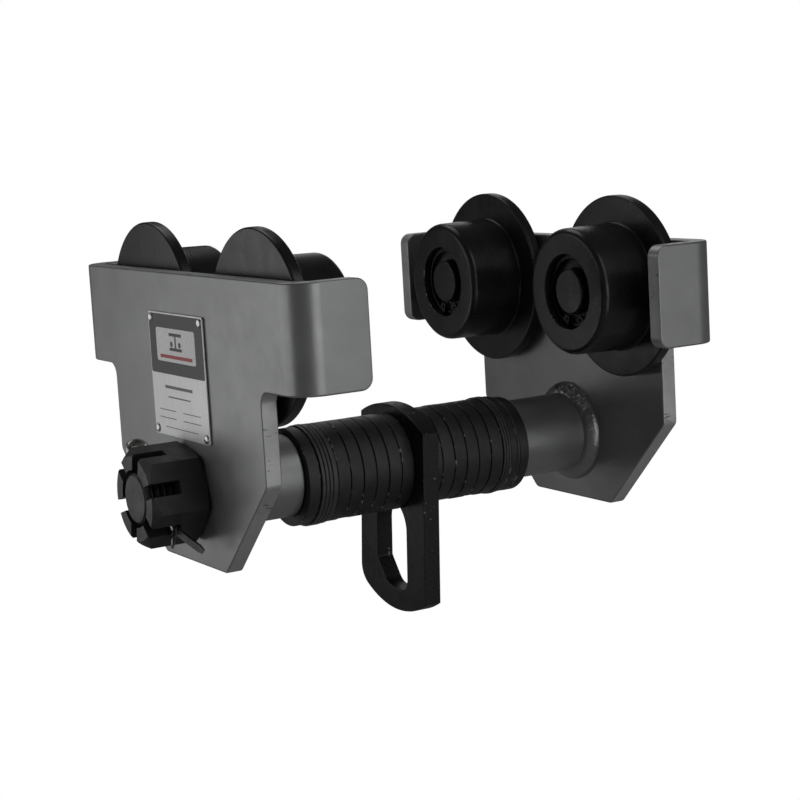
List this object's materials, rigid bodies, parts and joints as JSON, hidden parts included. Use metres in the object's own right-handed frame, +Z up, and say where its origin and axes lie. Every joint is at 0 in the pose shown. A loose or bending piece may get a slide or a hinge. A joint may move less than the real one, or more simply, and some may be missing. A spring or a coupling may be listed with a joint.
{
  "type": "beam trolley",
  "caption": "Push beam trolley: bent side plates with flanged wheels, joined by a threaded load bar that carries spacer washers and a hanging lug.",
  "frame": {"origin": "half way between the side plates and the wheel rows, at the height where the wheel treads run on the beam flange", "axes": "+X along the load bar towards the plain side plate, +Y along the beam, +Z up"},
  "size_m": [0.313, 0.255, 0.2215],
  "materials": {
    "grey_paint": "satin",
    "black_paint": "satin",
    "black_oxide": "satin black oxide",
    "shim_steel": "dark worn steel",
    "bearing_steel": "ground steel",
    "pin_steel": "drawn wire",
    "rivet_steel": "bright",
    "nameplate_metal": "satin with a dark printed panel"
  },
  "bodies": {
    "trolley_frame": {"axle_left_back": "bearing_steel", "axle_left_front": "bearing_steel", "bearing_inner_left_back": "bearing_steel", "bearing_inner_left_front": "bearing_steel", "boss_tube_left": "grey_paint", "load_bar": "black_oxide", "nameplate": "nameplate_metal", "rivet_1": "rivet_steel", "rivet_2": "rivet_steel", "rivet_3": "rivet_steel", "rivet_4": "rivet_steel", "shim_left_1": "shim_steel", "shim_left_2": "shim_steel", "shim_left_3": "shim_steel", "shim_left_4": "shim_steel", "shim_right_1": "shim_steel", "shim_right_2": "shim_steel", "shim_right_3": "shim_steel", "shim_right_4": "shim_steel", "side_plate_left": "grey_paint", "slotted_nut_left": "black_oxide", "slotted_nut_right": "black_oxide", "spacer_left_1": "black_oxide", "spacer_left_2": "black_oxide", "spacer_left_3": "black_oxide", "spacer_left_4": "black_oxide", "spacer_left_5": "black_oxide", "spacer_left_6": "black_oxide", "spacer_left_7": "black_oxide", "spacer_right_1": "black_oxide", "spacer_right_2": "black_oxide", "spacer_right_3": "black_oxide", "spacer_right_4": "black_oxide", "spacer_right_5": "black_oxide", "spacer_right_6": "black_oxide", "spacer_right_7": "black_oxide", "spacer_right_8": "black_oxide", "split_pin_left": "pin_steel", "split_pin_right": "pin_steel", "weld_bead_left": "grey_paint"},
    "right_side": {"axle_right_back": "bearing_steel", "axle_right_front": "bearing_steel", "bearing_inner_right_back": "bearing_steel", "bearing_inner_right_front": "bearing_steel", "boss_tube_right": "grey_paint", "side_plate_right": "grey_paint", "weld_bead_right": "grey_paint"},
    "lug": {"suspension_lug": "black_paint"},
    "wheel_body_left_front": {"bearing_outer_left_front": "bearing_steel", "snap_ring_left_front": "black_oxide", "wheel_left_front": "black_paint"},
    "wheel_body_left_back": {"bearing_outer_left_back": "bearing_steel", "snap_ring_left_back": "black_oxide", "wheel_left_back": "black_paint"},
    "wheel_body_right_front": {"bearing_outer_right_front": "bearing_steel", "snap_ring_right_front": "black_oxide", "wheel_right_front": "black_paint"},
    "wheel_body_right_back": {"bearing_outer_right_back": "bearing_steel", "snap_ring_right_back": "black_oxide", "wheel_right_back": "black_paint"}
  },
  "joints": [
    {"name": "right_side_rock", "type": "hinge", "parent": "trolley_frame", "child": "right_side", "pos_m": [0.1, 0, -0.0529], "axis": [1, 0, 0], "range_deg": [-6, 6]},
    {"name": "lug_swing", "type": "hinge", "parent": "trolley_frame", "child": "lug", "pos_m": [0, 0, -0.0529], "axis": [1, 0, 0], "range_deg": [-84, 76]},
    {"name": "wheel_spin_left_front", "type": "hinge", "parent": "trolley_frame", "child": "wheel_body_left_front", "pos_m": [-0.095, -0.0626, 0.0341], "axis": [1, 0, 0], "continuous": true},
    {"name": "wheel_spin_left_back", "type": "hinge", "parent": "trolley_frame", "child": "wheel_body_left_back", "pos_m": [-0.095, 0.0626, 0.0341], "axis": [1, 0, 0], "continuous": true},
    {"name": "wheel_spin_right_front", "type": "hinge", "parent": "right_side", "child": "wheel_body_right_front", "pos_m": [0.095, -0.0626, 0.0341], "axis": [1, 0, 0], "continuous": true},
    {"name": "wheel_spin_right_back", "type": "hinge", "parent": "right_side", "child": "wheel_body_right_back", "pos_m": [0.095, 0.0626, 0.0341], "axis": [1, 0, 0], "continuous": true}
  ]
}
